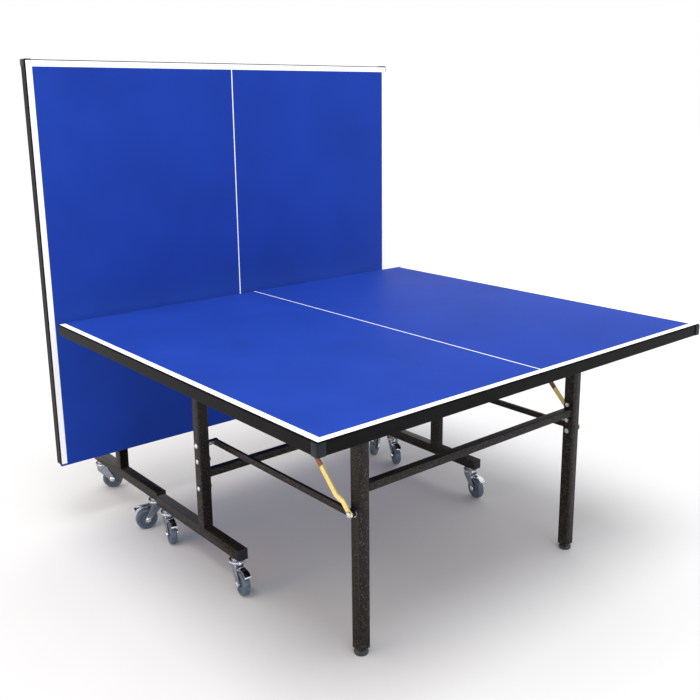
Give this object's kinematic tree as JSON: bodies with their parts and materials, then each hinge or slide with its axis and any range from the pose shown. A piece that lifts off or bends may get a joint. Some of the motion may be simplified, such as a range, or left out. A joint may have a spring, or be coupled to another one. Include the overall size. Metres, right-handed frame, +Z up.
{
  "type": "folding table-tennis table",
  "caption": "Folding table-tennis table in two rolling halves, one top flat and the other upright, with tubular T-frames, folding legs, lock struts and braked casters.",
  "frame": {"origin": "on the floor, under the middle of the whole table's bounding box", "axes": "+X along the table towards the flat half's end line, +Y across the table, +Z up"},
  "size_m": [1.743, 1.547, 1.596],
  "materials": {
    "blue_board": "satin blue paint on board",
    "black_steel": "satin powder coat",
    "hammered_steel": "hammered powder coat",
    "yellow_steel": "satin",
    "zinc_bolts": "zinc plated",
    "fork_steel": "zinc plated",
    "pedal_steel": "bright",
    "wheel_rubber": "matte blue-grey",
    "foot_plastic": "gloss",
    "black_plastic": "smooth"
  },
  "bodies": {
    "front_carriage": {"front_near_t_frame": "hammered_steel", "front_far_t_frame": "hammered_steel", "front_crossbar": "hammered_steel", "front_rail_caps": "black_plastic", "front_carriage_bolts": "zinc_bolts", "front_caster_heads": "zinc_bolts"},
    "front_top": {"front_tabletop": "blue_board", "front_apron_frame": "black_steel", "front_corner_guards": "black_plastic", "front_under_frame": "black_steel"},
    "front_legs": {"front_near_leg": "hammered_steel", "front_far_leg": "hammered_steel", "front_leg_crossbar": "hammered_steel", "front_leg_bolts": "zinc_bolts"},
    "front_links": {"front_link_bars": "hammered_steel"},
    "front_struts": {"front_lock_struts": "yellow_steel"},
    "front_near_foot_body": {"front_near_foot": "foot_plastic"},
    "front_far_foot_body": {"front_far_foot": "foot_plastic"},
    "rear_carriage": {"rear_near_t_frame": "hammered_steel", "rear_far_t_frame": "hammered_steel", "rear_crossbar": "hammered_steel", "rear_rail_caps": "black_plastic", "rear_carriage_bolts": "zinc_bolts", "rear_caster_heads": "zinc_bolts"},
    "rear_top": {"rear_tabletop": "blue_board", "rear_apron_frame": "black_steel", "rear_corner_guards": "black_plastic", "rear_under_frame": "black_steel"},
    "rear_legs": {"rear_near_leg": "hammered_steel", "rear_far_leg": "hammered_steel", "rear_leg_crossbar": "hammered_steel", "rear_leg_bolts": "zinc_bolts"},
    "rear_links": {"rear_link_bars": "hammered_steel"},
    "rear_struts": {"rear_lock_struts": "yellow_steel"},
    "rear_near_foot_body": {"rear_near_foot": "foot_plastic"},
    "rear_far_foot_body": {"rear_far_foot": "foot_plastic"},
    "front_near_inner_fork_body": {"front_near_inner_fork": "fork_steel"},
    "front_near_inner_wheel_body": {"front_near_inner_wheel": "wheel_rubber"},
    "front_near_inner_pedal_body": {"front_near_inner_pedal": "pedal_steel"},
    "front_near_outer_fork_body": {"front_near_outer_fork": "fork_steel"},
    "front_near_outer_wheel_body": {"front_near_outer_wheel": "wheel_rubber"},
    "front_near_outer_pedal_body": {"front_near_outer_pedal": "pedal_steel"},
    "front_far_inner_fork_body": {"front_far_inner_fork": "fork_steel"},
    "front_far_inner_wheel_body": {"front_far_inner_wheel": "wheel_rubber"},
    "front_far_inner_pedal_body": {"front_far_inner_pedal": "pedal_steel"},
    "front_far_outer_fork_body": {"front_far_outer_fork": "fork_steel"},
    "front_far_outer_wheel_body": {"front_far_outer_wheel": "wheel_rubber"},
    "front_far_outer_pedal_body": {"front_far_outer_pedal": "pedal_steel"},
    "rear_near_inner_fork_body": {"rear_near_inner_fork": "fork_steel"},
    "rear_near_inner_wheel_body": {"rear_near_inner_wheel": "wheel_rubber"},
    "rear_near_inner_pedal_body": {"rear_near_inner_pedal": "pedal_steel"},
    "rear_near_outer_fork_body": {"rear_near_outer_fork": "fork_steel"},
    "rear_near_outer_wheel_body": {"rear_near_outer_wheel": "wheel_rubber"},
    "rear_near_outer_pedal_body": {"rear_near_outer_pedal": "pedal_steel"},
    "rear_far_inner_fork_body": {"rear_far_inner_fork": "fork_steel"},
    "rear_far_inner_wheel_body": {"rear_far_inner_wheel": "wheel_rubber"},
    "rear_far_inner_pedal_body": {"rear_far_inner_pedal": "pedal_steel"},
    "rear_far_outer_fork_body": {"rear_far_outer_fork": "fork_steel"},
    "rear_far_outer_wheel_body": {"rear_far_outer_wheel": "wheel_rubber"},
    "rear_far_outer_pedal_body": {"rear_far_outer_pedal": "pedal_steel"}
  },
  "joints": [
    {"name": "front_fold", "type": "hinge", "parent": "front_carriage", "child": "front_top", "pos_m": [-0.0215, -0.007, 0.703], "axis": [0, -1, 0], "range_deg": [0, 90]},
    {"name": "front_leg_fold", "type": "hinge", "parent": "front_top", "child": "front_legs", "pos_m": [0.6525, -0.007, 0.703], "axis": [0, -1, 0], "range_deg": [-90, 0]},
    {"name": "front_link", "type": "hinge", "parent": "front_carriage", "child": "front_links", "pos_m": [-0.0415, -0.007, 0.418], "axis": [0, -1, 0], "range_deg": [0, 90]},
    {"name": "front_strut", "type": "hinge", "parent": "front_legs", "child": "front_struts", "pos_m": [0.6325, -0.007, 0.418], "axis": [0, -1, 0], "range_deg": [0, 144]},
    {"name": "front_near_foot_screw", "type": "slide", "parent": "front_legs", "child": "front_near_foot_body", "axis": [0, 0, -1], "range_m": [0, 0.012]},
    {"name": "front_far_foot_screw", "type": "slide", "parent": "front_legs", "child": "front_far_foot_body", "axis": [0, 0, -1], "range_m": [0, 0.012]},
    {"name": "rear_roll", "type": "slide", "parent": "front_carriage", "child": "rear_carriage", "axis": [-1, 0, 0], "range_m": [0, 0.36]},
    {"name": "rear_unfold", "type": "hinge", "parent": "rear_carriage", "child": "rear_top", "pos_m": [-0.6775, 0.007, 0.703], "axis": [0, -1, 0], "range_deg": [0, 90]},
    {"name": "rear_leg_fold", "type": "hinge", "parent": "rear_top", "child": "rear_legs", "pos_m": [-0.6775, 0.007, 1.377], "axis": [0, -1, 0], "range_deg": [-90, 0]},
    {"name": "rear_link", "type": "hinge", "parent": "rear_carriage", "child": "rear_links", "pos_m": [-0.6575, 0.007, 0.418], "axis": [0, -1, 0], "range_deg": [0, 90]},
    {"name": "rear_strut", "type": "hinge", "parent": "rear_legs", "child": "rear_struts", "pos_m": [-0.6575, 0.007, 1.092], "axis": [0, -1, 0], "range_deg": [0, 144]},
    {"name": "rear_near_foot_screw", "type": "slide", "parent": "rear_legs", "child": "rear_near_foot_body", "axis": [0, 0, -1], "range_m": [0, 0.012]},
    {"name": "rear_far_foot_screw", "type": "slide", "parent": "rear_legs", "child": "rear_far_foot_body", "axis": [0, 0, -1], "range_m": [0, 0.012]},
    {"name": "front_near_inner_swivel", "type": "hinge", "parent": "front_carriage", "child": "front_near_inner_fork_body", "pos_m": [-0.2915, -0.528, 0.1], "axis": [0, 0, 1], "continuous": true},
    {"name": "front_near_inner_roll", "type": "hinge", "parent": "front_near_inner_fork_body", "child": "front_near_inner_wheel_body", "pos_m": [-0.25673, -0.53732, 0.0375], "axis": [0.2588, 0.9659, 0], "continuous": true},
    {"name": "front_near_inner_brake", "type": "hinge", "parent": "front_near_inner_fork_body", "child": "front_near_inner_pedal_body", "pos_m": [-0.27604, -0.53214, 0.082], "axis": [0.2588, 0.9659, 0], "range_deg": [0, 8]},
    {"name": "front_near_outer_swivel", "type": "hinge", "parent": "front_carriage", "child": "front_near_outer_fork_body", "pos_m": [0.1395, -0.528, 0.1], "axis": [0, 0, 1], "continuous": true},
    {"name": "front_near_outer_roll", "type": "hinge", "parent": "front_near_outer_fork_body", "child": "front_near_outer_wheel_body", "pos_m": [0.17495, -0.53425, 0.0375], "axis": [0.1736, 0.9848, 0], "continuous": true},
    {"name": "front_near_outer_brake", "type": "hinge", "parent": "front_near_outer_fork_body", "child": "front_near_outer_pedal_body", "pos_m": [0.15526, -0.53078, 0.082], "axis": [0.1736, 0.9848, 0], "range_deg": [0, 8]},
    {"name": "front_far_inner_swivel", "type": "hinge", "parent": "front_carriage", "child": "front_far_inner_fork_body", "pos_m": [-0.2915, 0.514, 0.1], "axis": [0, 0, 1], "continuous": true},
    {"name": "front_far_inner_roll", "type": "hinge", "parent": "front_far_inner_fork_body", "child": "front_far_inner_wheel_body", "pos_m": [-0.25887, 0.49879, 0.0375], "axis": [0.4226, 0.9063, 0], "continuous": true},
    {"name": "front_far_inner_brake", "type": "hinge", "parent": "front_far_inner_fork_body", "child": "front_far_inner_pedal_body", "pos_m": [-0.277, 0.50724, 0.082], "axis": [0.4226, 0.9063, 0], "range_deg": [0, 8]},
    {"name": "front_far_outer_swivel", "type": "hinge", "parent": "front_carriage", "child": "front_far_outer_fork_body", "pos_m": [0.1395, 0.514, 0.1], "axis": [0, 0, 1], "continuous": true},
    {"name": "front_far_outer_roll", "type": "hinge", "parent": "front_far_outer_fork_body", "child": "front_far_outer_wheel_body", "pos_m": [0.17471, 0.50652, 0.0375], "axis": [0.2079, 0.9781, 0], "continuous": true},
    {"name": "front_far_outer_brake", "type": "hinge", "parent": "front_far_outer_fork_body", "child": "front_far_outer_pedal_body", "pos_m": [0.15515, 0.51067, 0.082], "axis": [0.2079, 0.9781, 0], "range_deg": [0, 8]},
    {"name": "rear_near_inner_swivel", "type": "hinge", "parent": "rear_carriage", "child": "rear_near_inner_fork_body", "pos_m": [-0.4075, -0.514, 0.1], "axis": [0, 0, 1], "continuous": true},
    {"name": "rear_near_inner_roll", "type": "hinge", "parent": "rear_near_inner_fork_body", "child": "rear_near_inner_wheel_body", "pos_m": [-0.41375, -0.54945, 0.0375], "axis": [0.9848, -0.1736, 0], "continuous": true},
    {"name": "rear_near_inner_brake", "type": "hinge", "parent": "rear_near_inner_fork_body", "child": "rear_near_inner_pedal_body", "pos_m": [-0.41028, -0.52976, 0.082], "axis": [0.9848, -0.1736, 0], "range_deg": [0, 8]},
    {"name": "rear_near_outer_swivel", "type": "hinge", "parent": "rear_carriage", "child": "rear_near_outer_fork_body", "pos_m": [-0.8385, -0.514, 0.1], "axis": [0, 0, 1], "continuous": true},
    {"name": "rear_near_outer_roll", "type": "hinge", "parent": "rear_near_outer_fork_body", "child": "rear_near_outer_wheel_body", "pos_m": [-0.81785, -0.48451, 0.0375], "axis": [-0.8192, 0.5736, 0], "continuous": true},
    {"name": "rear_near_outer_brake", "type": "hinge", "parent": "rear_near_outer_fork_body", "child": "rear_near_outer_pedal_body", "pos_m": [-0.82932, -0.50089, 0.082], "axis": [-0.8192, 0.5736, 0], "range_deg": [0, 8]},
    {"name": "rear_far_inner_swivel", "type": "hinge", "parent": "rear_carriage", "child": "rear_far_inner_fork_body", "pos_m": [-0.4075, 0.528, 0.1], "axis": [0, 0, 1], "continuous": true},
    {"name": "rear_far_inner_roll", "type": "hinge", "parent": "rear_far_inner_fork_body", "child": "rear_far_inner_wheel_body", "pos_m": [-0.3895, 0.49682, 0.0375], "axis": [0.866, 0.5, 0], "continuous": true},
    {"name": "rear_far_inner_brake", "type": "hinge", "parent": "rear_far_inner_fork_body", "child": "rear_far_inner_pedal_body", "pos_m": [-0.3995, 0.51414, 0.082], "axis": [0.866, 0.5, 0], "range_deg": [0, 8]},
    {"name": "rear_far_outer_swivel", "type": "hinge", "parent": "rear_carriage", "child": "rear_far_outer_fork_body", "pos_m": [-0.8385, 0.528, 0.1], "axis": [0, 0, 1], "continuous": true},
    {"name": "rear_far_outer_roll", "type": "hinge", "parent": "rear_far_outer_fork_body", "child": "rear_far_outer_wheel_body", "pos_m": [-0.8205, 0.55918, 0.0375], "axis": [-0.866, 0.5, 0], "continuous": true},
    {"name": "rear_far_outer_brake", "type": "hinge", "parent": "rear_far_outer_fork_body", "child": "rear_far_outer_pedal_body", "pos_m": [-0.8305, 0.54186, 0.082], "axis": [-0.866, 0.5, 0], "range_deg": [0, 8]}
  ],
  "couplings": [
    {"joint": "front_leg_fold", "follows": "front_fold", "ratio": -1},
    {"joint": "front_link", "follows": "front_fold", "ratio": 1},
    {"joint": "front_strut", "follows": "front_fold", "ratio": 1.6},
    {"joint": "rear_leg_fold", "follows": "rear_unfold", "ratio": -1},
    {"joint": "rear_link", "follows": "rear_unfold", "ratio": 1},
    {"joint": "rear_strut", "follows": "rear_unfold", "ratio": 1.6},
    {"joint": "rear_roll", "follows": "rear_unfold", "m_per_rad": 0.2291}
  ]
}
